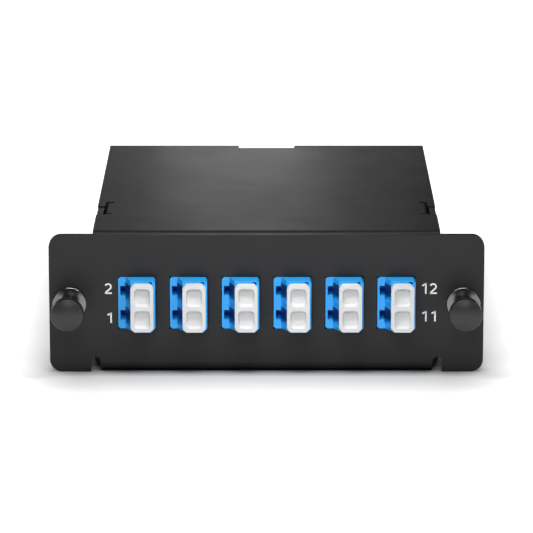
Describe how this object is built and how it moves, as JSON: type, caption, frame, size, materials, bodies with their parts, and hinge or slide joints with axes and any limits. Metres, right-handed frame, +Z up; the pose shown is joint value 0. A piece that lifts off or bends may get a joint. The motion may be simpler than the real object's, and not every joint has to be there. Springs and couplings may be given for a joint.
{
  "type": "fibre optic cassette",
  "caption": "Slim black sheet-metal fibre cassette: blue duplex LC ports with white dust caps on the face, push-pull latches at both ends, clip-in cover and an MPO port at the rear.",
  "frame": {"origin": "middle between the two latch barrels, in the rear side of the face plate", "axes": "+X to the right seen from the front, +Y into the box towards the rear port, +Z up"},
  "size_m": [0.109, 0.1271, 0.0354],
  "materials": {
    "black_powder_coat": "satin black powder coat on folded steel",
    "zinc_plated_steel": "zinc plated steel sheet",
    "aluminium_rivet": "plain aluminium",
    "blue_plastic": "blue moulded plastic, satin",
    "white_ceramic": "polished white ceramic",
    "white_cap_plastic": "milky white moulded plastic",
    "plug_blue": "blue moulded plastic with a white ferrule",
    "fibre_buffer": "coloured buffer of the fibres",
    "black_plastic": "black moulded plastic",
    "trunk_jacket": "yellow cable jacket",
    "mpo_housing": "green moulded plastic",
    "steel_screw": "plated steel",
    "cap_black": "soft black plastic"
  },
  "bodies": {
    "housing": {"base_tray": "black_powder_coat", "top_cover": "black_powder_coat", "adapter_bracket": "zinc_plated_steel", "bracket_rivets": "aluminium_rivet", "lc_adapter_1": "blue_plastic", "alignment_sleeves_1": "white_ceramic", "lc_adapter_2": "blue_plastic", "alignment_sleeves_2": "white_ceramic", "lc_adapter_3": "blue_plastic", "alignment_sleeves_3": "white_ceramic", "lc_adapter_4": "blue_plastic", "alignment_sleeves_4": "white_ceramic", "lc_adapter_5": "blue_plastic", "alignment_sleeves_5": "white_ceramic", "lc_adapter_6": "blue_plastic", "alignment_sleeves_6": "white_ceramic", "lc_plug_01": "plug_blue", "fibre_01": "fibre_buffer", "lc_plug_02": "plug_blue", "fibre_02": "fibre_buffer", "lc_plug_03": "plug_blue", "fibre_03": "fibre_buffer", "lc_plug_04": "plug_blue", "fibre_04": "fibre_buffer", "lc_plug_05": "plug_blue", "fibre_05": "fibre_buffer", "lc_plug_06": "plug_blue", "fibre_06": "fibre_buffer", "lc_plug_07": "plug_blue", "fibre_07": "fibre_buffer", "lc_plug_08": "plug_blue", "fibre_08": "fibre_buffer", "lc_plug_09": "plug_blue", "fibre_09": "fibre_buffer", "lc_plug_10": "plug_blue", "fibre_10": "fibre_buffer", "lc_plug_11": "plug_blue", "fibre_11": "fibre_buffer", "lc_plug_12": "plug_blue", "fibre_12": "fibre_buffer", "fan_out": "black_plastic", "fan_out_saddle": "black_plastic", "trunk_cable": "trunk_jacket", "mpo_adapter": "black_plastic", "mpo_plug": "mpo_housing", "mpo_screws": "steel_screw", "mpo_nuts": "steel_screw", "latch_grommet_left": "black_plastic", "latch_grommet_right": "black_plastic"},
    "latch_left": {"latch_plunger_left": "black_plastic"},
    "latch_right": {"latch_plunger_right": "black_plastic"},
    "mpo_cap": {"mpo_dust_cap": "cap_black"},
    "cap_1": {"dust_cap_1": "white_cap_plastic"},
    "cap_2": {"dust_cap_2": "white_cap_plastic"},
    "cap_3": {"dust_cap_3": "white_cap_plastic"},
    "cap_4": {"dust_cap_4": "white_cap_plastic"},
    "cap_5": {"dust_cap_5": "white_cap_plastic"},
    "cap_6": {"dust_cap_6": "white_cap_plastic"}
  },
  "joints": [
    {"name": "latch_left_push", "type": "slide", "parent": "housing", "child": "latch_left", "axis": [0, 1, 0], "range_m": [0, 0.0048]},
    {"name": "latch_right_push", "type": "slide", "parent": "housing", "child": "latch_right", "axis": [0, 1, 0], "range_m": [0, 0.0048]},
    {"name": "cap_1_pull", "type": "slide", "parent": "housing", "child": "cap_1", "axis": [0, -1, 0], "range_m": [0, 0.0078]},
    {"name": "cap_2_pull", "type": "slide", "parent": "housing", "child": "cap_2", "axis": [0, -1, 0], "range_m": [0, 0.0078]},
    {"name": "cap_3_pull", "type": "slide", "parent": "housing", "child": "cap_3", "axis": [0, -1, 0], "range_m": [0, 0.0078]},
    {"name": "cap_4_pull", "type": "slide", "parent": "housing", "child": "cap_4", "axis": [0, -1, 0], "range_m": [0, 0.0078]},
    {"name": "cap_5_pull", "type": "slide", "parent": "housing", "child": "cap_5", "axis": [0, -1, 0], "range_m": [0, 0.0078]},
    {"name": "cap_6_pull", "type": "slide", "parent": "housing", "child": "cap_6", "axis": [0, -1, 0], "range_m": [0, 0.0078]},
    {"name": "mpo_cap_pull", "type": "slide", "parent": "housing", "child": "mpo_cap", "axis": [0, 1, 0], "range_m": [0, 0.0058]}
  ]
}
